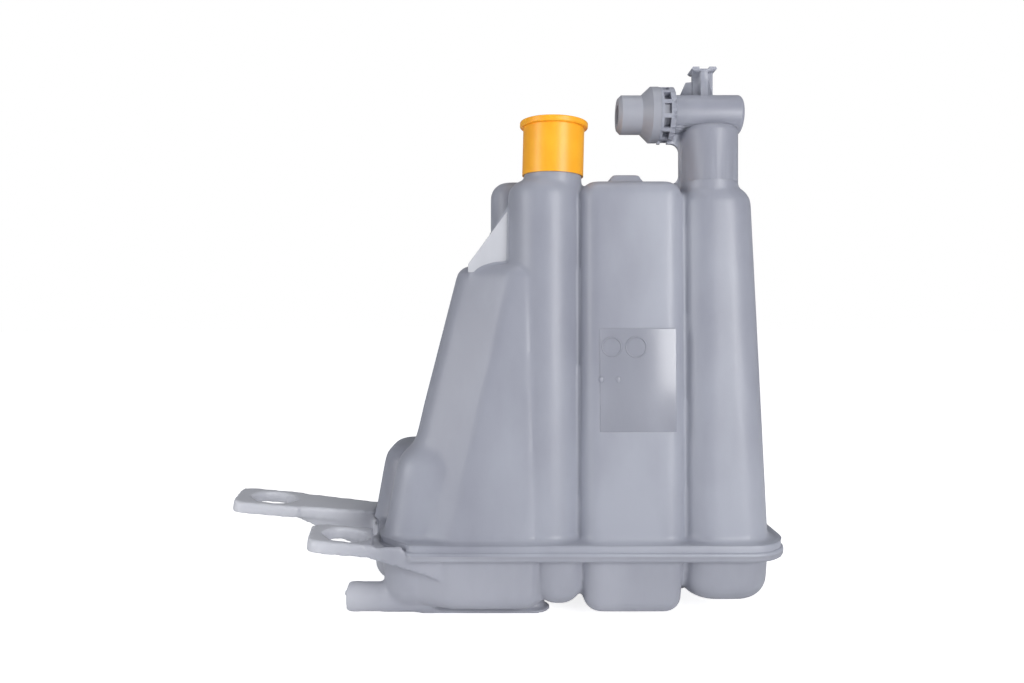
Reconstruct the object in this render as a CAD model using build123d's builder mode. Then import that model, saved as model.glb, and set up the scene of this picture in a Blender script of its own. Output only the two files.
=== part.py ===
"""Coolant expansion tank: two welded, translucent half shells with lobed cells, a
snap-in return nozzle on a moulded elbow, and a push-on transport cap.

Millimetres, +Z up, standing on its base. The origin is at the bottom centre of the
bounding box. +X points to the elbow side, -Y is the front with the label panel.
"""

import os
from math import cos, pi, radians, sin

from build123d import *

# Overall places
flange_front = -58.4
flange_back = 64.0

# Moulded wall
wall = 2.6
web = 2.6

# Weld flange between the two shells
weld_z = 47.0
flange_half = 5.8
flange_lip = 9.4
flange_corner = 26.0
flange_edge = 2.4
flange_left_corner = 16.0

# Grooves between the cells, and how far neighbouring cells run into each other
groove_12 = 27.3
groove_12_top = 23.8
groove_23 = 58.4
groove_34 = 122.0
lobe_overlap = 1.2

# Front and back faces of the cells at the weld and their lean
cell_front = -53.4
cell_back = 59.0
face_lean = 0.026

# Sloping cell on the left
slope_top = 228.5
slope_left = -68.2
slope_lean = 0.252
ridge_x = -26.4
ridge_lean = 0.222
facet_low = 16.0
facet_high = 25.0
slope_corner = 18.0
slope_crown = 10.0
seam_edge = 1.5
seam_reach = 6.0

# Low shoulder chambers left of the sloping cell
shoulder_front_top = 108.5
shoulder_rear_top = 103.0
shoulder_lean = 0.18
shoulder_front_left = -72.4
shoulder_rear_left = -86.2
shoulder_split_y = -0.4
shoulder_corner = 18.0
shoulder_crown = 13.0

# Neck cell: round front lobe and broad rear part
neck_cell_top = 284.0
neck_rear_top = 288.5
neck_lobe_r = 24.2
neck_lobe_x = 34.6
neck_lobe_y = -25.0
neck_cell_left = -1.8
neck_cell_front = -14.0
neck_cell_corner = 15.0
neck_crown = 11.0

# Middle cell with the label panel
middle_top = 282.0
middle_corner = 12.0
middle_crown = 10.0

# Right cell under the elbow
right_top = 280.0
right_side = 179.8
right_lean = 0.042
right_corner = 22.0
right_crown = 13.0

# Depths of the lower cells above the base, front part and rear part
sump_rise_slope = 6.5
sump_rise_neck = 10.6
sump_rise_middle = 6.0
sump_rise_right = 12.6
sump_lean = 0.05
sump_round = 13.0
sump_rear_y = 4.0
sump_rear_left = -63.8
sump_rear_right = 146.2
sump_rear_corner = 16.0
sump_rear_round = 5.0

# Set-backs and seams of the cells
neck_lobe_lean = 4.0
shoulder_set_back = 8.0
sump_neck_corner = 14.5
sump_right_round = 15.0
sump_rear_inset = 4.0

# Facet and slanting side of the weld flange
flange_rear_side = 34.0
flange_facet_x = 24.0
flange_facet_y = 23.0
flange_left_lip = 1.0

# Filler neck, leaning slightly to the right
neck_x = 40.2
neck_y = -26.4
neck_lean = 1.4
neck_r = 19.05
neck_bore_r = 14.8
neck_collar_top = 291.0
neck_thread_r = 16.9
neck_top = 320.6
neck_lip = 0.8

# Transport cap pushed over the neck
cap_bottom = 287.2
cap_wall = 1.05
cap_gap = 0.08
cap_seat_gap = 0.3
cap_rim_reach = 2.3
cap_rim_height = 4.0
cap_rim_edge = 1.1
cap_roof = 1.2
cap_dish_r = 15.0
cap_dish_depth = 0.6

# Elbow on the right cell
elbow_x = 143.5
elbow_y = -26.4
elbow_r = 18.7
elbow_top = 319.0
elbow_crown = 4.5
tube_r = 12.9
tube_wall = 2.5
tube_z = 327.8
tube_end_x = 164.2
tube_end_edge = 3.0
tube_drop_r = 9.0

# Collar of the elbow that holds the nozzle
collar_left = 109.0
collar_right = 118.6
collar_r = 17.9
collar_bore_r = 13.6
collar_skirt = 1.6
collar_rib_left = 1.9
collar_rib_right = 3.2
collar_floor = 1.6
collar_windows = 12
collar_post = 2.8

# Return nozzle
nozzle_r = 12.7
nozzle_left = 82.7
nozzle_cone_x = 98.0
nozzle_ring_x = 103.9
nozzle_ring_r = 18.2
nozzle_edge = 2.2
nozzle_bore_r = 6.4
nozzle_gap = 0.15
nozzle_snout = 13.0
latch_count = 4
latch_rise = 2.2
latch_gap = 0.3
seal_offset = 7.0
seal_section_r = 1.0
seal_groove = 2.6
seal_gap = 0.05

# Fin below the collar
fin_thick = 3.0
fin_lower = 308.6
fin_corner = 6.0
fin_land = 1.2
fin_foot = 6.0
fin_base_z = 270.0

# Clip post on top of the elbow
clip_left = 132.5
clip_right = 145.6
clip_depth = 13.0
clip_rib = 4.4
clip_top = 358.0
clip_head = 2.6
clip_flare = 1.8
clip_notch = 6.5
clip_notch_depth = 1.3
clip_gusset_foot = 124.4
clip_gusset_top = 128.1
clip_gusset_z = 349.1
clip_gusset_rise = 1.0
clip_gusset_thick = 2.4

# Rib between the sloping cell and the neck cell
rib_y = -30.4
rib_thick = 2.4
rib_apex_z = 268.4
rib_foot_x = -15.3
rib_sink = 8.0

# Tab on the middle cell
tab_left = 76.5
tab_right = 99.6
tab_top = 288.4
tab_thick = 3.0
tab_y = -28.4
tab_slant = 3.0
tab_shoulder = 2.0

# Recessed label panel with two plain dials
panel_left = 68.6
panel_right = 116.8
panel_top = 187.0
panel_bottom = 122.0
panel_depth = 0.6
dial_z = 175.4
dial_places = [(76.5, 6.4), (91.6, 6.9)]
dial_line = 0.9
dial_rise = 0.3

# Bracket plane: the ears rise to the left and turn with the tank's side
bracket_x = -96.1
bracket_y = -42.1
bracket_z = 55.2
bracket_turn = 9.8
bracket_rise = 7.7
bracket_thick = 8.0
ear_corner = 9.0
ear_bore_shift = 3.0
ear_groove_count = 6
ear_groove_r = 1.3
front_ear = 40.0
front_ear_bore_r = 14.2
rear_ear = 45.0
rear_ear_bore_r = 15.3
rear_ear_u = -55.84
rear_ear_v = 77.0
rear_arm_front = 61.0
rear_arm_back = 92.0
rear_arm_root = 20.0
rear_arm_reach = 36.0
arm_gap = 0.4

# Upright webs that carry the ears, along the bracket's own direction
web_thick = 3.0
front_web_end = 66.0
front_web_top = 51.3
front_web_step = 39.0
front_web_chamfer = 6.0
front_web_low = 26.5
front_web_start = 24.0
front_web_start_z = 42.0
inner_web_v = 9.5
inner_web_start = 10.0
inner_web_end = 47.0
inner_web_low = 14.0
inner_web_foot = 8.0
rear_web_start = -48.0
rear_web_end = 30.0
rear_web_low = 16.0

# Outlet spigot and its sump boss with the foot plate
outlet_y = -28.5
outlet_r = 9.3
outlet_bore_r = 7.0
outlet_left = -95.9
outlet_barb = 8.6
outlet_barb_rise = 0.4
outlet_nose = 2.0
outlet_clear = 0.8
outlet_step_x = -71.9
outlet_duct_r = 9.7
outlet_inner = -37.6
foot_left = -53.6
foot_right = 38.4
foot_front = -32.8
foot_back = -11.0
foot_thick = 1.8
boss_margin = 3.5
boss_height = 11.6

# Flow windows in the baffle webs
window_width = 26.0
window_y = 8.0
window_height = 12.0
window_low_gap = 4.0
window_high_gap = 16.0
sump_window_low = 19.0


def faced(front, back, z, inset):
    """Front and back y of a cell at height z, leaning inwards away from the weld."""
    lean = face_lean * abs(z - weld_z)
    return front + lean + inset, back - lean - inset


def rounded(points, radius, sharp):
    """A polygon in the open sketch, its corners rounded but for the rightmost sharp ones."""
    Polygon(*points, align=None)
    fillet(vertices().sort_by(Axis.X)[:len(points) - sharp], radius=radius)


def cell(lower, upper, z_lower, z_upper, radius, crown, crown_up=True, sharp=0):
    """A drafted cell between two outlines, with its closed end rounded over."""
    with BuildPart() as body:
        with BuildSketch(Plane.XY.offset(z_lower)):
            rounded(lower, radius, sharp)
        with BuildSketch(Plane.XY.offset(z_upper)):
            rounded(upper, radius, sharp)
        loft(ruled=True)
        end = faces().sort_by(Axis.Z)[-1 if crown_up else 0]
        fillet(end.edges(), radius=crown)
    return body.part


def box_outline(left, right, front, back):
    """Corner points of a rectangular outline."""
    return [(left, front), (right, front), (right, back), (left, back)]


def slope_outline(z, inset):
    """Outline of the sloping cell: slanting left side with facets, right side run into the groove."""
    front, back = faced(cell_front, cell_back, z, inset)
    rise = z - weld_z
    left = slope_left + slope_lean * rise + inset
    ridge = ridge_x + ridge_lean * rise + inset / 2
    groove = groove_12 + (groove_12_top - groove_12) * rise / (slope_top - weld_z)
    facet = facet_low + (facet_high - facet_low) * rise / (slope_top - weld_z)
    edge = groove - seam_edge - inset / 2
    seam = seam_edge + seam_reach
    return [(groove + seam_reach, front + seam), (groove + seam_reach, back - seam), (edge, back),
            (ridge, back), (left, back - facet), (left, front + facet), (ridge, front), (edge, front)]


def slope_cell(inset):
    """The sloping cell from the weld plane up to its crown."""
    top = slope_top - inset
    return cell(slope_outline(weld_z, inset), slope_outline(top, inset),
                weld_z, top, slope_corner - inset, slope_crown - inset, sharp=4)


def shoulder_outline(left, front, back, inset):
    """Outline of a low chamber, from its outer side to inside the sloping cell."""
    return box_outline(left + inset, ridge_x, front + inset, back - inset)


def shoulder_cell(left, front, back, high, inset):
    """One low chamber left of the sloping cell, running into it."""
    top = high - inset
    lean = shoulder_lean * (top - weld_z)
    return cell(shoulder_outline(left, front, back, inset),
                shoulder_outline(left + lean, front, back, inset),
                weld_z, top, shoulder_corner - inset, shoulder_crown - inset, sharp=2)


def neck_lobe(inset):
    """The round column at the front of the neck cell."""
    with BuildPart() as body:
        with BuildSketch(Plane.XY.offset(weld_z)):
            with Locations((neck_lobe_x, neck_lobe_y - neck_lobe_lean)):
                Circle(neck_lobe_r - inset)
        with BuildSketch(Plane.XY.offset(neck_cell_top - inset)):
            with Locations((neck_lobe_x, neck_lobe_y)):
                Circle(neck_lobe_r - inset)
        loft(ruled=True)
        fillet(faces().sort_by(Axis.Z)[-1].edges(), radius=neck_crown - inset)
    return body.part


def neck_rear(inset, side_inset):
    """The broad rear part of the neck cell."""
    top = neck_rear_top - inset
    front, back = faced(neck_cell_front, cell_back, top, inset)
    left = neck_cell_left + inset
    right = groove_23 + lobe_overlap - side_inset
    return cell(box_outline(left, right, neck_cell_front + inset, cell_back - inset),
                box_outline(left, right, front, back),
                weld_z, top, neck_cell_corner - inset, neck_crown - inset)


def middle_cell(inset, side_inset):
    """The flat-fronted cell that carries the label panel."""
    top = middle_top - inset
    front, back = faced(cell_front, cell_back, top, inset)
    left = groove_23 - lobe_overlap + side_inset
    right = groove_34 + lobe_overlap - side_inset
    return cell(box_outline(left, right, cell_front + inset, cell_back - inset),
                box_outline(left, right, front, back),
                weld_z, top, middle_corner - inset, middle_crown - inset)


def right_cell(inset, side_inset):
    """The cell under the elbow, with its outer side leaning in."""
    top = right_top - inset
    front, back = faced(cell_front, cell_back, top, inset)
    left = groove_34 - lobe_overlap + side_inset
    right = right_side - inset
    lean = right_lean * (top - weld_z)
    return cell(box_outline(left, right, cell_front + inset, cell_back - inset),
                box_outline(left, right - lean, front, back),
                weld_z, top, right_corner - inset, right_crown - inset)


def sump_shoulder(left, front, back, inset):
    """The lower part of a low chamber."""
    low = sump_rise_slope + inset
    lean = sump_lean * (weld_z - low)
    return cell(shoulder_outline(left, front, back, inset + lean),
                shoulder_outline(left, front, back, inset),
                low, weld_z, shoulder_corner - inset, sump_round - inset, crown_up=False, sharp=2)


def sump_cell(left, right, front, back, corner, low, round_r):
    """One lower cell hanging from the weld plane, drafted and rounded at its bottom."""
    lean = sump_lean * (weld_z - low)
    return cell(box_outline(left + lean, right - lean, front + lean, back - lean),
                box_outline(left, right, front, back),
                low, weld_z, corner, round_r, crown_up=False)


def sump_slope(inset):
    """The lower cell below the sloping cell."""
    low = sump_rise_slope + inset
    lean = sump_lean * (weld_z - low)
    return cell(slope_outline(weld_z, inset + lean), slope_outline(weld_z, inset),
                low, weld_z, slope_corner - inset, sump_round - inset, crown_up=False, sharp=4)


# Upper shell: outer bodies and cavities of its cells
shoulder_front = cell_front + shoulder_set_back
shoulder_seam = lobe_overlap + shoulder_split_y
rear_seam = shoulder_split_y - lobe_overlap
web_inset = lobe_overlap + web / 2
upper_outers = [
    slope_cell(0),
    shoulder_cell(shoulder_front_left, shoulder_front, shoulder_seam, shoulder_front_top, 0),
    shoulder_cell(shoulder_rear_left, rear_seam, cell_back, shoulder_rear_top, 0),
    neck_lobe(0),
    neck_rear(0, 0),
    middle_cell(0, 0),
    right_cell(0, 0),
]
upper_cavities = [
    slope_cell(wall),
    shoulder_cell(shoulder_front_left, shoulder_front, shoulder_seam, shoulder_front_top, wall),
    shoulder_cell(shoulder_rear_left, rear_seam, cell_back, shoulder_rear_top, wall),
    neck_lobe(wall),
    neck_rear(wall, web_inset),
    middle_cell(wall, web_inset),
    right_cell(wall, web_inset),
]

# Lower shell: the same cells, shallow, with a flat base part at the rear
lower_outers = [
    sump_slope(0),
    sump_shoulder(shoulder_front_left, shoulder_front, shoulder_seam, 0),
    sump_shoulder(shoulder_rear_left, rear_seam, cell_back, 0),
    sump_cell(groove_12 - lobe_overlap, groove_23 + lobe_overlap, cell_front, cell_back,
              sump_neck_corner, sump_rise_neck, sump_round),
    sump_cell(groove_23 - lobe_overlap, groove_34 + lobe_overlap, cell_front, cell_back,
              middle_corner, sump_rise_middle, middle_crown),
    sump_cell(groove_34 - lobe_overlap, right_side, cell_front, cell_back,
              right_corner, sump_rise_right, sump_right_round),
    sump_cell(sump_rear_left, sump_rear_right, sump_rear_y, cell_back - sump_rear_inset,
              sump_rear_corner, 0, sump_rear_round),
]
lower_cavities = [
    sump_slope(wall),
    sump_shoulder(shoulder_front_left, shoulder_front, shoulder_seam, wall),
    sump_shoulder(shoulder_rear_left, rear_seam, cell_back, wall),
    sump_cell(groove_12, groove_23 - web / 2, cell_front + wall, cell_back - wall,
              sump_neck_corner - wall, sump_rise_neck + wall, sump_round - wall),
    sump_cell(groove_23 + web / 2, groove_34 - web / 2, cell_front + wall, cell_back - wall,
              middle_corner - wall, sump_rise_middle + wall, middle_crown - wall),
    sump_cell(groove_34 + web / 2, right_side - wall, cell_front + wall, cell_back - wall,
              right_corner - wall, sump_rise_right + wall, sump_right_round - wall),
    sump_cell(sump_rear_left + wall, sump_rear_right - wall, sump_rear_y + wall,
              cell_back - sump_rear_inset - wall, sump_rear_corner - wall, wall,
              sump_rear_round - wall),
]

# Weld flange outline: straight front, facet at the front left, slanting left side
flange_right = right_side + flange_lip
flange_rear_left = shoulder_rear_left - flange_left_lip
flange_front_left = shoulder_front_left - flange_left_lip
flange_points = [
    (flange_right, flange_front), (flange_right, flange_back),
    (flange_rear_left, flange_back), (flange_rear_left, flange_back - flange_rear_side),
    (flange_front_left, flange_front + flange_facet_y),
    (ridge_x - flange_facet_x, flange_front),
]


def flange_plate(z, height, growth):
    """The flange outline as a plate from z upwards, grown outwards for a clearance."""
    with BuildPart() as plate:
        with BuildSketch(Plane.XY.offset(z)) as outline:
            Polygon(*flange_points, align=None)
            right_corners = vertices().group_by(Axis.X)[-1]
            fillet(right_corners, radius=flange_corner)
            fillet(vertices().sort_by(Axis.X)[:2], radius=flange_left_corner)
            if growth:
                offset(amount=growth)
        extrude(amount=height)
    return plate.part


upper_flange = flange_plate(weld_z, flange_half, 0)
lower_flange = flange_plate(weld_z - flange_half, flange_half, 0)
upper_flange_room = flange_plate(weld_z, flange_half * 3, arm_gap)

# Planes and places that several sub-parts share
neck_tilt = radians(neck_lean)
neck_axis = (sin(neck_tilt), 0, cos(neck_tilt))
neck_plane = Plane(origin=(neck_x, neck_y, neck_collar_top), x_dir=(cos(neck_tilt), 0, -sin(neck_tilt)),
                   z_dir=neck_axis)
tube_axis = Axis((0, elbow_y, tube_z), (1, 0, 0))
tube_bore_r = tube_r - tube_wall
collar_end = collar_right - collar_floor
window_left = collar_left + collar_rib_left
window_right = collar_right - collar_rib_right
face_plane = Plane(origin=(0, cell_front, weld_z), x_dir=(1, 0, 0), z_dir=(0, -1, face_lean))
elbow_section = Plane.XZ.offset(-elbow_y)


def tube_plane(x):
    """A plane across the elbow's tube at x, with its origin on the tube's axis."""
    return Plane(origin=(x, elbow_y, tube_z), x_dir=(0, 1, 0), z_dir=(1, 0, 0))


with BuildPart() as upper_shell:
    add(upper_flange)
    fillet(faces().sort_by(Axis.Z)[-1].edges(), radius=flange_edge)
    add(upper_outers)
    # Rib that ties the sloping cell's crown to the neck column
    with BuildSketch(Plane.XZ.offset(-rib_y)):
        Polygon((rib_foot_x, slope_top - rib_sink), (neck_lobe_x, slope_top - rib_sink),
                (neck_lobe_x, rib_apex_z), (neck_lobe_x - neck_lobe_r, rib_apex_z),
                (rib_foot_x, slope_top), align=None)
    extrude(amount=rib_thick / 2, both=True)
    # Tab on the crown of the middle cell
    with BuildSketch(Plane.XZ.offset(-tab_y)):
        Polygon((tab_left, middle_top - wall / 2), (tab_right, middle_top - wall / 2),
                (tab_right, middle_top + tab_shoulder), (tab_right - tab_slant, tab_top),
                (tab_left + tab_slant, tab_top), (tab_left, middle_top + tab_shoulder), align=None)
    extrude(amount=tab_thick / 2, both=True)
    # Neck: a plain collar rooted in the crown, and the slimmer spout above it
    with BuildSketch(neck_plane):
        Circle(neck_r)
    extrude(amount=-(neck_collar_top - neck_cell_top + neck_crown))
    with BuildSketch(neck_plane):
        Circle(neck_thread_r)
    extrude(amount=neck_top - neck_collar_top)
    fillet(faces().sort_by(Axis.Z)[-1].edges(), radius=neck_lip)
    # Elbow: upright pipe with a rounded top
    with BuildSketch(Plane.XY.offset(right_top - right_crown)):
        with Locations((elbow_x, elbow_y)):
            Circle(elbow_r)
    extrude(amount=elbow_top - right_top + right_crown)
    fillet(edges().filter_by(GeomType.CIRCLE).filter_by_position(
        Axis.Z, elbow_top - 0.1, elbow_top + 0.1), radius=elbow_crown)
    # Elbow: level tube, closed on the right
    with BuildSketch(tube_plane(collar_end)):
        Circle(tube_r)
    extrude(amount=tube_end_x - collar_end)
    fillet(edges().filter_by_position(Axis.X, tube_end_x - 0.1, tube_end_x + 0.1),
           radius=tube_end_edge)
    # Collar with its conical skirt
    with BuildSketch(elbow_section):
        Polygon((collar_left, tube_z), (collar_left, tube_z + collar_r),
                (collar_right, tube_z + collar_r), (collar_right + collar_skirt, tube_z + tube_r),
                (collar_right + collar_skirt, tube_z), align=None)
    revolve(axis=tube_axis)
    # Fin between the collar, the pipe and the crown
    fin_right = elbow_x - elbow_r - fin_land
    fin_upper = tube_z - tube_r + tube_wall / 2
    with BuildSketch(elbow_section):
        with BuildLine():
            Polyline((elbow_x, fin_upper), (collar_left, fin_upper),
                     (collar_left, fin_lower), (fin_right - fin_corner, fin_lower))
            RadiusArc((fin_right - fin_corner, fin_lower), (fin_right, fin_lower - fin_corner),
                      fin_corner)
            Line((fin_right, fin_lower - fin_corner), (fin_right, middle_top + fin_foot))
            RadiusArc((fin_right, middle_top + fin_foot), (fin_right - fin_foot, middle_top),
                      fin_foot)
            Polyline((fin_right - fin_foot, middle_top), (fin_right - fin_foot, fin_base_z),
                     (elbow_x, fin_base_z), (elbow_x, fin_upper))
        make_face()
    extrude(amount=fin_thick / 2, both=True)
    # Clip post: crossed ribs with a flared, notched head, and a gusset on its left
    clip_x = (clip_left + clip_right) / 2
    clip_base = tube_z + tube_r / 2
    with BuildSketch(Plane.XY.offset(clip_base)):
        with Locations((clip_x, elbow_y)):
            Rectangle(clip_right - clip_left, clip_rib)
            Rectangle(clip_rib, clip_depth)
    extrude(amount=clip_top - clip_head - clip_base)
    with BuildSketch(elbow_section):
        Polygon((clip_left, clip_top - clip_head), (clip_right, clip_top - clip_head),
                (clip_right + clip_flare, clip_top - clip_head / 2),
                (clip_right + clip_flare / 2, clip_top),
                (clip_x + clip_notch / 2, clip_top),
                (clip_x + clip_notch / 2, clip_top - clip_notch_depth),
                (clip_x - clip_notch / 2, clip_top - clip_notch_depth),
                (clip_x - clip_notch / 2, clip_top),
                (clip_left - clip_flare / 2, clip_top),
                (clip_left - clip_flare, clip_top - clip_head / 2), align=None)
    extrude(amount=clip_depth / 2, both=True)
    with BuildSketch(elbow_section):
        Polygon((clip_gusset_foot, clip_base), (clip_gusset_foot, tube_z + tube_r),
                (clip_gusset_top, clip_gusset_z), (clip_x, clip_gusset_z + clip_gusset_rise),
                (clip_x, clip_base), align=None)
    extrude(amount=clip_gusset_thick / 2, both=True)
    # Cavities of the cells
    add(upper_cavities, mode=Mode.SUBTRACT)
    # Bore of the neck, down into its cell
    with BuildSketch(neck_plane.offset(neck_top - neck_collar_top + 1)):
        Circle(neck_bore_r)
    extrude(amount=-(neck_top - neck_cell_top + 2 * neck_crown), mode=Mode.SUBTRACT)
    # Bores of the elbow: pipe, tube and the hole that joins them
    with BuildSketch(Plane.XY.offset(right_top - right_crown)):
        with Locations((elbow_x, elbow_y)):
            Circle(elbow_r - wall)
    extrude(amount=elbow_top - wall - right_top + right_crown, mode=Mode.SUBTRACT)
    with BuildSketch(Plane.XY.offset(elbow_top - 2 * wall)):
        with Locations((elbow_x, elbow_y)):
            Circle(tube_drop_r)
    extrude(amount=tube_z - elbow_top + 2 * wall, mode=Mode.SUBTRACT)
    with BuildSketch(tube_plane(collar_left)):
        Circle(tube_bore_r)
    extrude(amount=tube_end_x - tube_wall - collar_left, mode=Mode.SUBTRACT)
    with BuildSketch(tube_plane(collar_left)):
        Circle(collar_bore_r)
    extrude(amount=collar_end - collar_left, mode=Mode.SUBTRACT)
    # Latch windows round the collar
    window_pitch = 2 * pi * collar_r / collar_windows
    with BuildSketch(tube_plane(window_left)):
        with PolarLocations((collar_r + collar_bore_r) / 2, collar_windows):
            Rectangle(2 * (collar_r - collar_bore_r), window_pitch - collar_post)
    extrude(amount=window_right - window_left, mode=Mode.SUBTRACT)
    # Flow windows through the baffles, low and high
    window_middle = weld_z + window_low_gap + window_height / 2
    window_upper = right_top - window_high_gap - window_height / 2
    with Locations(*[(x, window_y, z) for x in (groove_23, groove_34)
                     for z in (window_middle, window_upper)]):
        Box(4 * web, window_width, window_height, mode=Mode.SUBTRACT)
    # Label panel with two plain raised dials
    with BuildSketch(face_plane.offset(panel_depth)):
        with Locations(((panel_left + panel_right) / 2, (panel_top + panel_bottom) / 2 - weld_z)):
            Rectangle(panel_right - panel_left, panel_top - panel_bottom)
    extrude(amount=-2 * panel_depth, mode=Mode.SUBTRACT)
    with BuildSketch(face_plane.offset(-panel_depth)):
        for dial_x, dial_r in dial_places:
            with Locations((dial_x, dial_z - weld_z)):
                Circle(dial_r)
                Circle(dial_r - dial_line, mode=Mode.SUBTRACT)
    extrude(amount=dial_rise)
upper_shell.part.label = "upper_shell"

# Bracket plane and the two ear bores on it
turn = radians(bracket_turn)
rise = radians(bracket_rise)
bracket_plane = Plane(origin=(bracket_x, bracket_y, bracket_z),
                      x_dir=(cos(turn) * cos(rise), sin(turn) * cos(rise), -sin(rise)),
                      z_dir=(cos(turn) * sin(rise), sin(turn) * sin(rise), cos(rise)))
ear_bores = [(ear_bore_shift, 0, front_ear_bore_r),
             (rear_ear_u + ear_bore_shift, rear_ear_v, rear_ear_bore_r)]


def ear(u, v, size):
    """Outline of one ear: square, with its outer corners rounded."""
    with BuildSketch(mode=Mode.PRIVATE) as outline:
        with Locations((u, v)):
            Rectangle(size, size)
        fillet(outline.vertices().group_by(Axis.X)[0], radius=ear_corner)
    return outline.sketch


def upright_plane(v):
    """An upright plane along the brackets: x runs to the body, y up, origin at base height."""
    start = bracket_plane.from_local_coords(Vector(0, v, 0))
    return Plane(origin=(start.X, start.Y, 0), x_dir=(cos(turn), sin(turn), 0),
                 z_dir=(sin(turn), -cos(turn), 0))


def under_ear(u):
    """Height inside the ear plate at u, measured along the brackets."""
    return bracket_z - u * sin(rise) - bracket_thick / 2


with BuildPart() as brackets:
    with BuildSketch(bracket_plane):
        add(ear(0, 0, front_ear))
        add(ear(rear_ear_u, rear_ear_v, rear_ear))
        half = rear_ear / 2
        Polygon((rear_ear_u, rear_ear_v - half), (rear_arm_root, rear_arm_front),
                (rear_arm_reach, rear_arm_front), (rear_arm_reach, rear_arm_back),
                (rear_arm_root, rear_arm_back), (rear_ear_u, rear_ear_v + half), align=None)
    extrude(amount=-bracket_thick)
    # Front web, stepped down where it meets the flange
    with BuildSketch(upright_plane(-front_ear / 2)):
        step_z = weld_z - arm_gap
        Polygon((0, under_ear(0)), (front_web_start, front_web_start_z),
                (front_web_end, front_web_low), (front_web_end, step_z),
                (front_web_step + front_web_chamfer, step_z), (front_web_step, front_web_top),
                (front_ear / 2, front_web_top), (0, under_ear(0) + 1), align=None)
    extrude(amount=-web_thick)
    # Inner web under the front ear
    with BuildSketch(upright_plane(inner_web_v)):
        Polygon((inner_web_start, under_ear(inner_web_start)), (inner_web_end - inner_web_foot, inner_web_low),
                (inner_web_end, inner_web_low), (inner_web_end, step_z),
                (front_ear / 2, under_ear(front_ear / 2)), align=None)
    extrude(amount=-web_thick)
    # Two webs under the rear arm
    for v in (rear_arm_front, rear_arm_back - web_thick):
        with BuildSketch(upright_plane(v)):
            Polygon((rear_web_start, under_ear(rear_web_start)),
                    (rear_web_end, rear_web_low), (rear_web_end, under_ear(rear_web_end)),
                    align=None)
        extrude(amount=-web_thick)
    add(upper_flange_room, mode=Mode.SUBTRACT)
    # Ear bores with shallow upright grooves for the grommets
    for u, v, bore_r in ear_bores:
        with BuildSketch(bracket_plane.offset(bracket_thick)):
            with Locations((u, v)):
                Circle(bore_r)
                with PolarLocations(bore_r, ear_groove_count):
                    Circle(ear_groove_r)
        extrude(amount=-3 * bracket_thick, mode=Mode.SUBTRACT)

outlet_z = outlet_r + outlet_clear
outlet_axis = Axis((0, outlet_y, outlet_z), (1, 0, 0))
foot_x = (foot_left + foot_right) / 2
foot_y = (foot_front + foot_back) / 2
foot_length = foot_right - foot_left
foot_width = foot_back - foot_front

with BuildPart() as lower_shell:
    add(lower_flange)
    fillet(faces().sort_by(Axis.Z)[0].edges(), radius=flange_edge)
    add(lower_outers)
    add(brackets.part)
    # Sump boss and the foot plate below it
    with BuildSketch():
        with Locations((foot_x, foot_y)):
            SlotOverall(foot_length, foot_width)
    extrude(amount=foot_thick)
    with BuildSketch(Plane.XY.offset(foot_thick)):
        with Locations((foot_x, foot_y)):
            SlotOverall(foot_length - 2 * boss_margin, foot_width - 2 * boss_margin)
    extrude(amount=boss_height - foot_thick)
    # Outlet spigot with its barb, running on as a duct under the cell
    barb_x = outlet_left + outlet_barb
    with BuildSketch(Plane.XZ.offset(-outlet_y)):
        Polygon((outlet_left, outlet_z), (outlet_left, outlet_z + outlet_r - outlet_nose),
                (outlet_left + outlet_nose, outlet_z + outlet_r),
                (barb_x, outlet_z + outlet_r + outlet_barb_rise), (barb_x, outlet_z + outlet_r),
                (outlet_step_x, outlet_z + outlet_r), (outlet_step_x, outlet_z + outlet_duct_r),
                (outlet_inner, outlet_z + outlet_duct_r), (outlet_inner, outlet_z), align=None)
    revolve(axis=outlet_axis)
    # Cavities, the outlet's bore and the flow windows
    add(lower_cavities, mode=Mode.SUBTRACT)
    with BuildSketch(Plane(origin=(outlet_left, outlet_y, outlet_z), x_dir=(0, 1, 0),
                           z_dir=(1, 0, 0))):
        Circle(outlet_bore_r)
    extrude(amount=outlet_inner - wall - outlet_left, mode=Mode.SUBTRACT)
    with Locations(*[(x, window_y, sump_window_low + window_height / 2)
                     for x in (groove_12, groove_23, groove_34)]):
        Box(4 * web, window_width, window_height, mode=Mode.SUBTRACT)
lower_shell.part.label = "lower_shell"

# Transport cap: thin skirt over the collar, thick rim, closed and slightly dished roof
cap_inner_r = neck_r + cap_gap
cap_outer_r = cap_inner_r + cap_wall
cap_under = neck_top - neck_collar_top + cap_seat_gap
cap_crown = cap_under + cap_roof + cap_dish_depth
cap_low = cap_bottom - neck_collar_top
cap_plane = Plane(origin=neck_plane.origin, x_dir=neck_plane.x_dir, z_dir=(0, -1, 0))
with BuildPart() as transport_cap:
    with BuildSketch(cap_plane):
        rim_r = cap_outer_r + cap_rim_reach
        Polygon((0, cap_under), (cap_inner_r, cap_under), (cap_inner_r, cap_low),
                (cap_outer_r, cap_low), (cap_outer_r, cap_crown - cap_rim_height),
                (rim_r, cap_crown - cap_rim_height), (rim_r, cap_crown),
                (cap_dish_r, cap_crown), (cap_dish_r - cap_dish_depth, cap_under + cap_roof),
                (0, cap_under + cap_roof), align=None)
        fillet(vertices().filter_by_position(Axis.X, rim_r - 0.1, rim_r + 0.1), radius=cap_rim_edge)
    revolve(axis=Axis(neck_plane.origin, neck_axis))
transport_cap.part.label = "transport_cap"

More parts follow.
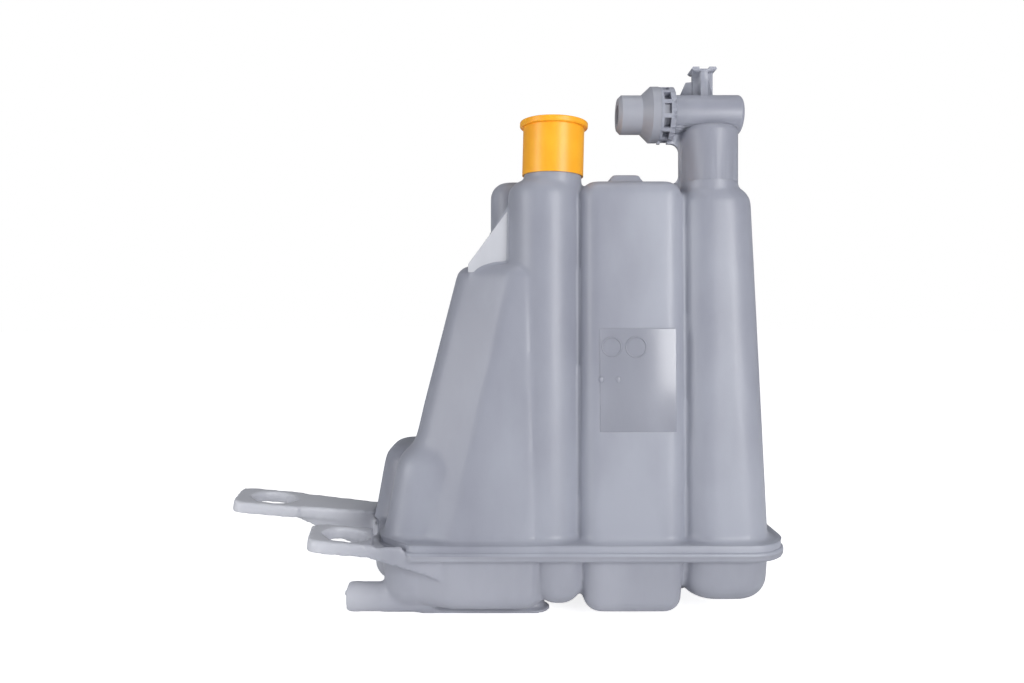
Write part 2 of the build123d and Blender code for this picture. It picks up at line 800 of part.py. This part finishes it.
# Return nozzle: spigot, cone and ring, with a latched sleeve and snout inside the elbow
ring_right = collar_left - nozzle_gap
sleeve_r = collar_bore_r - nozzle_gap
sleeve_end = collar_end - nozzle_gap
snout_r = tube_bore_r - nozzle_gap
snout_end = sleeve_end + nozzle_snout
seal_x = sleeve_end + seal_offset
seal_ring_r = tube_bore_r - seal_gap - seal_section_r
with BuildPart() as return_nozzle:
    with BuildSketch(elbow_section):
        Polygon((nozzle_left, tube_z + nozzle_bore_r),
                (nozzle_left, tube_z + nozzle_r - nozzle_edge),
                (nozzle_left + nozzle_edge, tube_z + nozzle_r), (nozzle_cone_x, tube_z + nozzle_r),
                (nozzle_ring_x, tube_z + nozzle_ring_r), (ring_right, tube_z + nozzle_ring_r),
                (ring_right, tube_z + sleeve_r), (sleeve_end, tube_z + sleeve_r),
                (sleeve_end, tube_z + snout_r), (snout_end, tube_z + snout_r),
                (snout_end, tube_z + nozzle_bore_r), align=None)
    revolve(axis=tube_axis)
    # Latches that snap into the collar's windows
    with BuildSketch(tube_plane(window_left + latch_gap)):
        with PolarLocations(sleeve_r + latch_rise / 4, latch_count):
            Rectangle(1.5 * latch_rise, window_pitch - collar_post - 2 * latch_gap)
    extrude(amount=window_right - window_left - 2 * latch_gap)
    # Groove for the seal
    with BuildSketch(elbow_section):
        with Locations((seal_x, tube_z + tube_bore_r)):
            Rectangle(seal_groove, 2 * (tube_bore_r - seal_ring_r + seal_section_r + seal_gap))
    revolve(axis=tube_axis, mode=Mode.SUBTRACT)
return_nozzle.part.label = "return_nozzle"

with BuildPart() as nozzle_seal:
    with BuildSketch(elbow_section):
        with Locations((seal_x, tube_z + seal_ring_r)):
            Circle(seal_section_r)
    revolve(axis=tube_axis)
nozzle_seal.part.label = "nozzle_seal"

os.makedirs("parts", exist_ok=True)
export_step(upper_shell.part, "parts/upper_shell.step")
export_step(lower_shell.part, "parts/lower_shell.step")
export_step(transport_cap.part, "parts/transport_cap.step")
export_step(return_nozzle.part, "parts/return_nozzle.step")
export_step(nozzle_seal.part, "parts/nozzle_seal.step")
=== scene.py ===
"""Coolant expansion tank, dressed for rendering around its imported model."""

import math

import bpy
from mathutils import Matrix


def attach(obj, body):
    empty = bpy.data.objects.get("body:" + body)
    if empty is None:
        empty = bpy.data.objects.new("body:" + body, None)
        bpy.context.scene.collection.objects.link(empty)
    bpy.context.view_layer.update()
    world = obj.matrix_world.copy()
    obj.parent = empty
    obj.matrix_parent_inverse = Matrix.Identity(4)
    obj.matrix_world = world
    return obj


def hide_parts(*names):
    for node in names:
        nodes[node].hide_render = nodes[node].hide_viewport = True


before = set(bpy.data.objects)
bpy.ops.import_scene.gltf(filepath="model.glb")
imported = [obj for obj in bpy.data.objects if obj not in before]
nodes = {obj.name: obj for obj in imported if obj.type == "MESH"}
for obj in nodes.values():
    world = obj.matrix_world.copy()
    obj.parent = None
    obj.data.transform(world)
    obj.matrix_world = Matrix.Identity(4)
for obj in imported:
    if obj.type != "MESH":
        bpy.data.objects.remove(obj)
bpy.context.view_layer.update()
bpy.ops.object.select_all(action="DESELECT")


# Camera: level, in front of the tank's middle and a little above its mid height, with
# a short lens. The frame is shifted down to take in the whole tank.
picture_width = 1024
downward_shift = 28
camera_data = bpy.data.cameras.new("camera")
camera_data.sensor_width = 36.0
camera_data.lens = 26.02
camera_data.shift_y = -downward_shift / picture_width
camera = bpy.data.objects.new("camera", camera_data)
camera.location = (0.0132, -0.5168, 0.1965)
camera.rotation_euler = (math.radians(90), 0, 0)
bpy.context.collection.objects.link(camera)
bpy.context.scene.camera = camera


# Studio: a white floor that keeps the tank's soft shadow, a white surround for the
# camera, a large softbox at the right front and weaker ones at the left and above.
world = bpy.data.worlds.new("studio")
bpy.context.scene.world = world
world.use_nodes = True
world_nodes = world.node_tree.nodes
world_links = world.node_tree.links
world_nodes.clear()
white_surround = world_nodes.new("ShaderNodeBackground")
white_surround.inputs["Color"].default_value = (1, 1, 1, 1)
white_surround.inputs["Strength"].default_value = 1.0
soft_light = world_nodes.new("ShaderNodeBackground")
soft_light.inputs["Color"].default_value = (0.95, 0.97, 1, 1)
soft_light.inputs["Strength"].default_value = 0.27
world_mix = world_nodes.new("ShaderNodeMixShader")
world_path = world_nodes.new("ShaderNodeLightPath")
world_out = world_nodes.new("ShaderNodeOutputWorld")
world_links.new(world_path.outputs["Is Camera Ray"], world_mix.inputs["Fac"])
world_links.new(soft_light.outputs["Background"], world_mix.inputs[1])
world_links.new(white_surround.outputs["Background"], world_mix.inputs[2])
world_links.new(world_mix.outputs["Shader"], world_out.inputs["Surface"])

softboxes = [
    ("right_softbox", (0.85, -1.25, 0.30), (0.05, 0, 0.14), 0.60, 1.0, 18.5),
    ("left_softbox", (-1.20, -0.70, 0.35), (-0.03, 0, 0.14), 0.45, 0.9, 8.0),
    ("top_softbox", (0.05, -0.30, 1.45), (0.02, 0, 0.15), 0.9, 0.7, 3.0),
]
for name, place, aim, width, height, power in softboxes:
    lamp_data = bpy.data.lights.new(name, "AREA")
    lamp_data.shape = "RECTANGLE"
    lamp_data.size = width
    lamp_data.size_y = height
    lamp_data.energy = power
    lamp = bpy.data.objects.new(name, lamp_data)
    lamp.location = place
    ray = [place[i] - aim[i] for i in range(3)]
    tilt = math.atan2(math.hypot(ray[0], ray[1]), ray[2])
    heading = math.atan2(ray[1], ray[0]) + math.pi / 2
    lamp.rotation_euler = (tilt, 0, heading)
    bpy.context.collection.objects.link(lamp)

floor_radius = 9
bpy.ops.mesh.primitive_circle_add(vertices=96, radius=floor_radius, fill_type="NGON", location=(0, 0, 0))
floor = bpy.context.object
floor.name = "floor"
floor_finish = bpy.data.materials.new("white_floor")
floor_finish.use_nodes = True
floor_tree = floor_finish.node_tree
floor_shader = floor_tree.nodes["Principled BSDF"]
floor_shader.inputs["Base Color"].default_value = (0.95, 0.95, 0.96, 1)
floor_shader.inputs["Roughness"].default_value = 0.8
floor_shader.inputs["Specular IOR Level"].default_value = 0.1
floor_path = floor_tree.nodes.new("ShaderNodeLightPath")
floor_white = floor_tree.nodes.new("ShaderNodeEmission")
floor_white.inputs["Color"].default_value = (1, 1, 1, 1)
floor_white.inputs["Strength"].default_value = 0.80
floor_seen = floor_tree.nodes.new("ShaderNodeAddShader")
floor_mix = floor_tree.nodes.new("ShaderNodeMixShader")
floor_out = floor_tree.nodes["Material Output"]
floor_tree.links.new(floor_shader.outputs["BSDF"], floor_seen.inputs[0])
floor_tree.links.new(floor_white.outputs["Emission"], floor_seen.inputs[1])
floor_tree.links.new(floor_path.outputs["Is Camera Ray"], floor_mix.inputs["Fac"])
floor_tree.links.new(floor_shader.outputs["BSDF"], floor_mix.inputs[1])
floor_tree.links.new(floor_seen.outputs["Shader"], floor_mix.inputs[2])
floor_tree.links.new(floor_mix.outputs["Shader"], floor_out.inputs["Surface"])
floor.data.materials.append(floor_finish)
bpy.ops.object.select_all(action="DESELECT")


# Cells of the upper shell: one injection moulding of natural polypropylene, milky
# grey-blue. Its cells run into each other in soft grooves, as the mould was polished.
def milky_plastic(name, deep, pale, seed, gloss=0.40, painted_glow_span=None):
    """Natural polypropylene: cloudy flow marks, fine eroded grain, light scattered inside.

    An optional span along X, from where the colour starts to pale to where it reaches a given colour:
    painted light, standing in for light shining through thin plastic.
    """
    finish = bpy.data.materials.new(name)
    finish.use_nodes = True
    tree = finish.node_tree
    links = tree.links
    shader = tree.nodes["Principled BSDF"]
    coords = tree.nodes.new("ShaderNodeTexCoord")
    place = tree.nodes.new("ShaderNodeMapping")
    place.inputs["Location"].default_value = (seed, seed, 0)
    place.inputs["Scale"].default_value = (1.0, 1.0, 0.45)
    links.new(coords.outputs["Object"], place.inputs["Vector"])
    cloud = tree.nodes.new("ShaderNodeTexNoise")
    cloud.inputs["Scale"].default_value = 16.0
    cloud.inputs["Detail"].default_value = 5.0
    links.new(place.outputs["Vector"], cloud.inputs["Vector"])
    tint = tree.nodes.new("ShaderNodeValToRGB")
    tint.color_ramp.elements[0].position = 0.36
    tint.color_ramp.elements[0].color = (*deep, 1)
    tint.color_ramp.elements[1].position = 0.64
    tint.color_ramp.elements[1].color = (*pale, 1)
    links.new(cloud.outputs["Fac"], tint.inputs["Fac"])
    colour = tint.outputs["Color"]
    # Painted light: the base colour pales along X, standing in for light that shines through thin
    # plastic.
    if painted_glow_span:
        glow_start_x, glow_full_x, painted_glow_colour = painted_glow_span
        spread = tree.nodes.new("ShaderNodeSeparateXYZ")
        reach = tree.nodes.new("ShaderNodeMapRange")
        reach.inputs["From Min"].default_value = glow_start_x
        reach.inputs["From Max"].default_value = glow_full_x
        lit = tree.nodes.new("ShaderNodeMix")
        lit.data_type = "RGBA"
        lit.inputs["B"].default_value = (*painted_glow_colour, 1)
        links.new(coords.outputs["Object"], spread.inputs["Vector"])
        links.new(spread.outputs["X"], reach.inputs["Value"])
        links.new(reach.outputs["Result"], lit.inputs["Factor"])
        links.new(colour, lit.inputs["A"])
        colour = lit.outputs["Result"]
    links.new(colour, shader.inputs["Base Color"])
    sheen_spots = tree.nodes.new("ShaderNodeMapRange")
    sheen_spots.inputs["To Min"].default_value = gloss - 0.05
    sheen_spots.inputs["To Max"].default_value = gloss + 0.07
    links.new(cloud.outputs["Fac"], sheen_spots.inputs["Value"])
    links.new(sheen_spots.outputs["Result"], shader.inputs["Roughness"])
    grain = tree.nodes.new("ShaderNodeTexNoise")
    grain.inputs["Scale"].default_value = 850.0
    grain.inputs["Detail"].default_value = 2.0
    links.new(coords.outputs["Object"], grain.inputs["Vector"])
    bump = tree.nodes.new("ShaderNodeBump")
    bump.inputs["Strength"].default_value = 0.07
    bump.inputs["Distance"].default_value = 0.0004
    links.new(grain.outputs["Fac"], bump.inputs["Height"])
    links.new(bump.outputs["Normal"], shader.inputs["Normal"])
    shader.inputs["Subsurface Weight"].default_value = 0.3
    shader.inputs["Subsurface Radius"].default_value = (1.0, 1.0, 1.0)
    shader.inputs["Subsurface Scale"].default_value = 0.005
    return finish


def pick_only(piece):
    """Make one piece the only selected and active object."""
    bpy.ops.object.select_all(action="DESELECT")
    piece.select_set(True)
    bpy.context.view_layer.objects.active = piece


def merged_copy(node, name):
    """A copy of a moulding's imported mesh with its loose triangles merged."""
    piece = bpy.data.objects.new(name, nodes[node].data.copy())
    piece.data.name = name
    bpy.context.collection.objects.link(piece)
    pick_only(piece)
    bpy.ops.object.mode_set(mode="EDIT")
    bpy.ops.mesh.select_all(action="SELECT")
    bpy.ops.mesh.remove_doubles(threshold=0.000001)
    bpy.ops.object.mode_set(mode="OBJECT")
    return piece


def block(low, high):
    """A plain block between two corners."""
    bpy.ops.mesh.primitive_cube_add(size=1, location=[(a + b) / 2 for a, b in zip(low, high)],
                                    scale=[b - a for a, b in zip(low, high)])
    return bpy.context.object


def rod(place, radius, length, turn):
    """A round rod at a place, upright before its turn."""
    bpy.ops.mesh.primitive_cylinder_add(vertices=64, radius=radius, depth=length,
                                        location=place, rotation=turn)
    return bpy.context.object


def stopped_with(piece, stoppers):
    """Join blocks and rods to a moulding, so that its hollow inside is closed off."""
    pick_only(piece)
    for stopper in stoppers:
        stopper.select_set(True)
    bpy.ops.object.join()


def with_modifier(piece, kind, **settings):
    """Add one modifier to a piece and apply it."""
    pick_only(piece)
    bpy.ops.object.modifier_add(type=kind)
    modifier = piece.modifiers[-1]
    for key, value in settings.items():
        setattr(modifier, key, value)
    bpy.ops.object.modifier_apply(modifier=modifier.name)


def moulded_soft(piece, grain_size, passes):
    """Turn a closed moulding into one skin whose edges and grooves are softly rounded."""
    with_modifier(piece, "REMESH", mode="VOXEL", voxel_size=grain_size)
    with_modifier(piece, "SMOOTH", factor=0.5, iterations=passes)


def cut_away(piece, place, normal):
    """Cut a piece by a plane and take off the side that the normal points to."""
    pick_only(piece)
    bpy.ops.object.mode_set(mode="EDIT")
    bpy.ops.mesh.select_all(action="SELECT")
    bpy.ops.mesh.bisect(plane_co=place, plane_no=normal, clear_outer=True)
    bpy.ops.object.mode_set(mode="OBJECT")


def finished_in(piece, finish):
    """Give a piece one finish all over."""
    piece.data.materials.clear()
    piece.data.materials.append(finish)


shell_finish = milky_plastic("shell_plastic", (0.275, 0.285, 0.34), (0.35, 0.365, 0.425), 0.0)
flange_top = 0.0528
neck_foot = 0.2895
neck_lean = math.radians(1.4)
pipe_y = -0.0264
tube_z = 0.3278
level = math.radians(90)
hidden_lap = 0.0006
upper_cells = merged_copy("upper_shell", "upper_cells")
stopped_with(upper_cells, [
    block(low=(-0.110, -0.070, 0.0440), high=(0.200, 0.075, 0.0505)),
    rod(place=(0.0405, pipe_y, 0.302), radius=0.0165, length=0.010, turn=(0, neck_lean, 0)),
    rod(place=(0.130, pipe_y, tube_z), radius=0.0115, length=0.014, turn=(0, level, 0)),
])
moulded_soft(upper_cells, grain_size=0.00145, passes=8)

# The low chambers at the left flow into the sloping cell with no crease at the front
blend_right = -0.030
blend_back = 0.020
blend_low = 0.056
blend_high = 0.135
side_fade = 0.012
low_fade = 0.006
high_fade = 0.015
shoulder_blend = upper_cells.vertex_groups.new(name="shoulder_blend")
for vertex in upper_cells.data.vertices:
    x, y, z = vertex.co
    inside = min((blend_right - x) / side_fade, (blend_back - y) / side_fade,
                 (z - blend_low) / low_fade, (blend_high - z) / high_fade)
    if inside > 0:
        shoulder_blend.add([vertex.index], min(inside, 1), "REPLACE")
with_modifier(upper_cells, "SMOOTH", factor=0.6, iterations=110, vertex_group="shoulder_blend")

cut_away(upper_cells, (0, 0, flange_top - hidden_lap), (0, 0, -1))
cut_away(upper_cells, (0, 0, neck_foot), (0, 0, 1))
bpy.ops.object.shade_smooth()
finished_in(upper_cells, shell_finish)
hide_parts("upper_shell")
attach(upper_cells, "tank")


# Rib: a thin upright web between the crown of the sloping cell and the neck column,
# moulded with them. Its paler colour is painted light, standing in for the light that
# passes through it.
def upright_plate(name, corners, depth, edge):
    """A thin upright plate behind the four corners of its front, with rounded edges."""
    bpy.ops.mesh.primitive_plane_add(size=0.02, location=(0, 0, 0))
    plate = bpy.context.object
    plate.name = name
    for vertex, corner in zip(plate.data.vertices, corners):
        vertex.co = corner
    bpy.ops.object.mode_set(mode="EDIT")
    bpy.ops.mesh.select_all(action="SELECT")
    bpy.ops.mesh.extrude_region_move(TRANSFORM_OT_translate={"value": (0, depth, 0)})
    bpy.ops.mesh.select_all(action="SELECT")
    bpy.ops.mesh.normals_make_consistent(inside=False)
    bpy.ops.object.mode_set(mode="OBJECT")
    with_modifier(plate, "BEVEL", width=edge, segments=3)
    bpy.ops.object.shade_smooth_by_angle(angle=math.radians(35))
    return plate


# Painted light: the rib's colour is paler than the cells', standing in for light shining through the
# thin web.
rib_painted_glow_finish = milky_plastic("rib_painted_glow_plastic", (0.50, 0.51, 0.55), (0.60, 0.61, 0.65), 3.0,
                           gloss=0.33)
rib_left = -0.0156
rib_right = 0.0140
rib_front = -0.0319
rib_foot = 0.2235
rib_left_top = 0.2290
rib_right_top = 0.2690
rib = upright_plate("crown_rib", [
    (rib_left, rib_front, rib_foot),
    (rib_right, rib_front, rib_foot),
    (rib_left, rib_front, rib_left_top),
    (rib_right, rib_front, rib_right_top),
], depth=0.0030, edge=0.0005)
rib.data.materials.append(rib_painted_glow_finish)
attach(rib, "tank")


# Label panel on the middle cell: a polished place in the mould, so the plastic is
# glossy there, with two plain raised rings and two small pips.
panel_finish = milky_plastic("polished_plastic", (0.27, 0.28, 0.33), (0.34, 0.35, 0.41), 4.0,
                             gloss=0.20)
panel_left = 0.0686
panel_right = 0.1168
panel_foot = 0.1220
panel_top = 0.1870
face_y_at_weld = -0.0534
weld_z = 0.047
face_lean = 0.026


def face_y(z, proud):
    """Where the leaning front of the middle cell is at a height, less how proud a thing stands."""
    return face_y_at_weld + face_lean * (z - weld_z) - proud


panel_foot_y = face_y(panel_foot, proud=0.00012)
panel_top_y = face_y(panel_top, proud=0.00012)
panel = upright_plate("label_panel", [
    (panel_left, panel_foot_y, panel_foot),
    (panel_right, panel_foot_y, panel_foot),
    (panel_left, panel_top_y, panel_top),
    (panel_right, panel_top_y, panel_top),
], depth=0.0009, edge=0.0003)
panel.data.materials.append(panel_finish)
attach(panel, "tank")


def raised_mark(name):
    """Name the mark just added and finish it as part of the polished panel."""
    mark = bpy.context.object
    mark.name = name
    bpy.ops.object.transform_apply(location=True, rotation=True, scale=True)
    bpy.ops.object.shade_smooth()
    mark.data.materials.append(panel_finish)
    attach(mark, "tank")


ring_places = [(0.0761, 0.1755, 0.0060), (0.0915, 0.1753, 0.0064)]
for number, (x, z, radius) in enumerate(ring_places):
    bpy.ops.object.select_all(action="DESELECT")
    bpy.ops.mesh.primitive_torus_add(major_radius=radius, minor_radius=0.00042, major_segments=72,
                                     minor_segments=12, location=(x, face_y(z, proud=0.00016), z),
                                     rotation=(math.radians(90), 0, 0))
    raised_mark("panel_ring_%d" % number)

pip_places = [(0.0694, 0.1549), (0.0801, 0.1548)]
for number, (x, z) in enumerate(pip_places):
    bpy.ops.object.select_all(action="DESELECT")
    bpy.ops.mesh.primitive_uv_sphere_add(segments=32, ring_count=16, radius=0.0016,
                                         location=(x, face_y(z, proud=0.00008), z),
                                         scale=(1, 0.45, 1.25))
    raised_mark("panel_pip_%d" % number)


# Elbow: the upright pipe, level tube, collar with its latch windows, fin and clip
# post, moulded in one with the cells and crisper than they are.
def crisp_part(name, cuts):
    """The part of the upper shell that is left by some cuts, with its crisp edges."""
    piece = merged_copy("upper_shell", name)
    for place, normal in cuts:
        cut_away(piece, place, normal)
    finished_in(piece, shell_finish)
    bpy.ops.object.shade_smooth_by_angle(angle=math.radians(30))
    return piece


elbow_foot = 0.2825
elbow_left = 0.104
elbow = crisp_part("elbow", [((0, 0, elbow_foot), (0, 0, -1)), ((elbow_left, 0, 0), (-1, 0, 0))])
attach(elbow, "tank")


# Filler neck: plain collar that the cap grips, and the slimmer spout above it. It is
# moulded in one with the round column below.
neck_right = 0.075
neck = crisp_part("filler_neck", [((0, 0, neck_foot - hidden_lap), (0, 0, -1)),
                                  ((neck_right, 0, 0), (1, 0, 0))])
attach(neck, "tank")


# Cells of the lower shell with the bracket ears, webs and outlet spigot: the second
# injection moulding, welded to the upper one along the flange. Towards the ears the
# colour is painted paler, as painted light standing in for light shining through them.
# Painted light: where the painted paleness towards the ears starts, where it is full, and its colour.
ears_glow_from_x = -0.062
ears_glow_full_x = -0.105
ears_painted_glow_colour = (0.56, 0.57, 0.62)
lower_finish = milky_plastic("lower_plastic", (0.29, 0.30, 0.35), (0.37, 0.38, 0.435), 1.0,
                             painted_glow_span=(ears_glow_from_x, ears_glow_full_x, ears_painted_glow_colour))
lower_cells = merged_copy("lower_shell", "lower_cells")
stopped_with(lower_cells, [
    block(low=(-0.080, -0.040, 0.0425), high=(-0.030, 0.058, 0.0465)),
    block(low=(-0.060, -0.052, 0.0425), high=(0.180, 0.059, 0.0465)),
    rod(place=(-0.060, -0.0285, 0.0101), radius=0.0080, length=0.010, turn=(0, level, 0)),
])
moulded_soft(lower_cells, grain_size=0.00152, passes=3)
bpy.ops.object.shade_smooth()
finished_in(lower_cells, lower_finish)
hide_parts("lower_shell")
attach(lower_cells, "tank")


# Weld flange: the two hot-plate welded lips. Each lip has a rounded edge, and the
# squeezed-out weld bead bulges between them as a smooth bright roll.
flange_corners = [(-0.0504, -0.0584), (0.1892, -0.0584), (0.1892, 0.0640),
                  (-0.0872, 0.0640), (-0.0872, 0.0300), (-0.0734, -0.0354)]
flange_rounding = [0.008, 0.026, 0.026, 0.016, 0.008, 0.016]
corner_steps = 8
weld_bead_z = 0.0456
weld_bead = [(0, 0.0007), (0.0002, 0.0006), (0.0004, 0.0005), (0.0005, 0.0003), (0.0003, 0.0001)]
upper_edge = [(0.0002, 0.0033), (0.0003, 0.0010), (0.0006, 0.0005), (0.0008, 0.0002), (0.002, 0)]
lower_edge = [(0.0002, 0.0006), (0.0003, 0.0007), (0.0006, 0.0006), (0.0008, 0.0002), (0.002, 0)]


def flange_ring(inward):
    """Points round the flange's edge, with its corners rounded, set in by a distance."""
    ring = []
    count = len(flange_corners)
    for i, (x, y) in enumerate(flange_corners):
        before, after = flange_corners[i - 1], flange_corners[(i + 1) % count]
        turn_in = math.atan2(y - before[1], x - before[0])
        turn_out = math.atan2(after[1] - y, after[0] - x)
        turn = (turn_out - turn_in + math.pi) % (2 * math.pi) - math.pi
        radius = flange_rounding[i]
        back = radius * math.tan(turn / 2)
        centre = (x - back * math.cos(turn_in) - radius * math.sin(turn_in),
                  y - back * math.sin(turn_in) + radius * math.cos(turn_in))
        for step in range(corner_steps + 1):
            way = turn_in + turn * step / corner_steps
            ring.append((centre[0] + (radius - inward) * math.sin(way),
                         centre[1] - (radius - inward) * math.cos(way)))
    return ring


def flange_lip(name, edge, up):
    """One lip from the bead's middle to its rounded edge, extruded ring by ring.

    Each step of the bead and the edge is how far it goes inwards, and how far up or down.
    """
    bpy.ops.object.select_all(action="DESELECT")
    bpy.ops.mesh.primitive_circle_add(vertices=len(flange_ring(0)), radius=0.1, location=(0, 0, 0))
    lip = bpy.context.object
    lip.name = name
    inward = 0
    height = weld_bead_z
    for vertex, (x, y) in zip(lip.data.vertices, flange_ring(0)):
        vertex.co = (x, y, height)
    for inset, climb in weld_bead + edge:
        inward += inset
        height += up * climb
        bpy.ops.object.mode_set(mode="EDIT")
        bpy.ops.mesh.extrude_region_move()
        bpy.ops.object.mode_set(mode="OBJECT")
        top = [vertex for vertex in lip.data.vertices if vertex.select]
        for vertex, (x, y) in zip(top, flange_ring(inward)):
            vertex.co = (x, y, height)
    bpy.ops.object.mode_set(mode="EDIT")
    bpy.ops.mesh.edge_face_add()
    bpy.ops.mesh.select_all(action="SELECT")
    bpy.ops.mesh.normals_make_consistent(inside=False)
    bpy.ops.object.mode_set(mode="OBJECT")
    bpy.ops.object.shade_smooth_by_angle(angle=math.radians(35))
    return lip


upper_lip = flange_lip("upper_weld_lip", upper_edge, up=1)
upper_lip.data.materials.append(shell_finish)
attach(upper_lip, "tank")

lower_lip = flange_lip("lower_weld_lip", lower_edge, up=-1)
lower_lip.data.materials.append(lower_finish)
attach(lower_lip, "tank")


# Return nozzle: a harder, slightly darker moulding. It snaps into the elbow's collar,
# where its latches show through the windows.
nozzle_finish = milky_plastic("nozzle_plastic", (0.27, 0.28, 0.325), (0.34, 0.35, 0.40), 2.0)
nodes["return_nozzle"].data.materials[0] = nozzle_finish


# Seal ring: black rubber in the nozzle's groove. It is hidden in the elbow once the
# nozzle is in.
def clouded_finish(name, scale, detail, tones, roughness):
    """A plain finish whose colour drifts between two tones, each with its place in the noise."""
    finish = bpy.data.materials.new(name)
    finish.use_nodes = True
    tree = finish.node_tree
    shader = tree.nodes["Principled BSDF"]
    coords = tree.nodes.new("ShaderNodeTexCoord")
    cloud = tree.nodes.new("ShaderNodeTexNoise")
    cloud.inputs["Scale"].default_value = scale
    cloud.inputs["Detail"].default_value = detail
    tint = tree.nodes.new("ShaderNodeValToRGB")
    for stop, (place, tone) in zip(tint.color_ramp.elements, tones):
        stop.position = place
        stop.color = (*tone, 1)
    tree.links.new(coords.outputs["Object"], cloud.inputs["Vector"])
    tree.links.new(cloud.outputs["Fac"], tint.inputs["Fac"])
    tree.links.new(tint.outputs["Color"], shader.inputs["Base Color"])
    shader.inputs["Roughness"].default_value = roughness
    return finish


seal_tones = [(0.0, (0.012, 0.012, 0.013)), (1.0, (0.035, 0.035, 0.037))]
seal_finish = clouded_finish("seal_rubber", 400.0, 2.0, seal_tones, roughness=0.45)
nodes["nozzle_seal"].data.materials[0] = seal_finish


# Transport cap: thin soft polyethylene in orange-yellow, pushed over the neck until
# the coolant is filled in.
cap_tones = [(0.3, (0.97, 0.40, 0.014)), (0.7, (1.0, 0.46, 0.022))]
cap_finish = clouded_finish("cap_polyethylene", 60.0, 3.0, cap_tones, roughness=0.38)
cap_shader = cap_finish.node_tree.nodes["Principled BSDF"]
cap_shader.inputs["Subsurface Weight"].default_value = 0.15
cap_shader.inputs["Subsurface Radius"].default_value = (1.0, 0.5, 0.1)
cap_shader.inputs["Subsurface Scale"].default_value = 0.003
nodes["transport_cap"].data.materials[0] = cap_finish


bpy.context.scene.view_settings.view_transform = "Standard"
